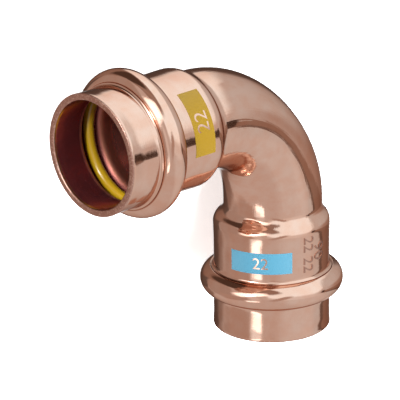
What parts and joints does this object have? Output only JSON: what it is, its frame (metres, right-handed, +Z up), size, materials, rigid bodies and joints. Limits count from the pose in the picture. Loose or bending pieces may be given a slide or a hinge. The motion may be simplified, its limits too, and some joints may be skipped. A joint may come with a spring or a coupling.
{
  "type": "press elbow",
  "caption": "Right-angle elbow of formed copper tube with a press socket at each end and a rolled bead on each socket that holds a yellow rubber seal ring.",
  "frame": {"origin": "middle of the elbow's outline, on the surface it lies on", "axes": "+Z up from that surface. The left socket's mouth looks nearly along -X and a little up, the front socket's nearly along -Y and a little up."},
  "size_m": [0.0684, 0.0684, 0.0304],
  "materials": {
    "copper": "bright polished copper",
    "yellow_rubber": "smooth, slightly glossy"
  },
  "bodies": {
    "root": {"elbow_body": "copper", "left_seal_ring": "yellow_rubber", "front_seal_ring": "yellow_rubber"}
  },
  "joints": []
}
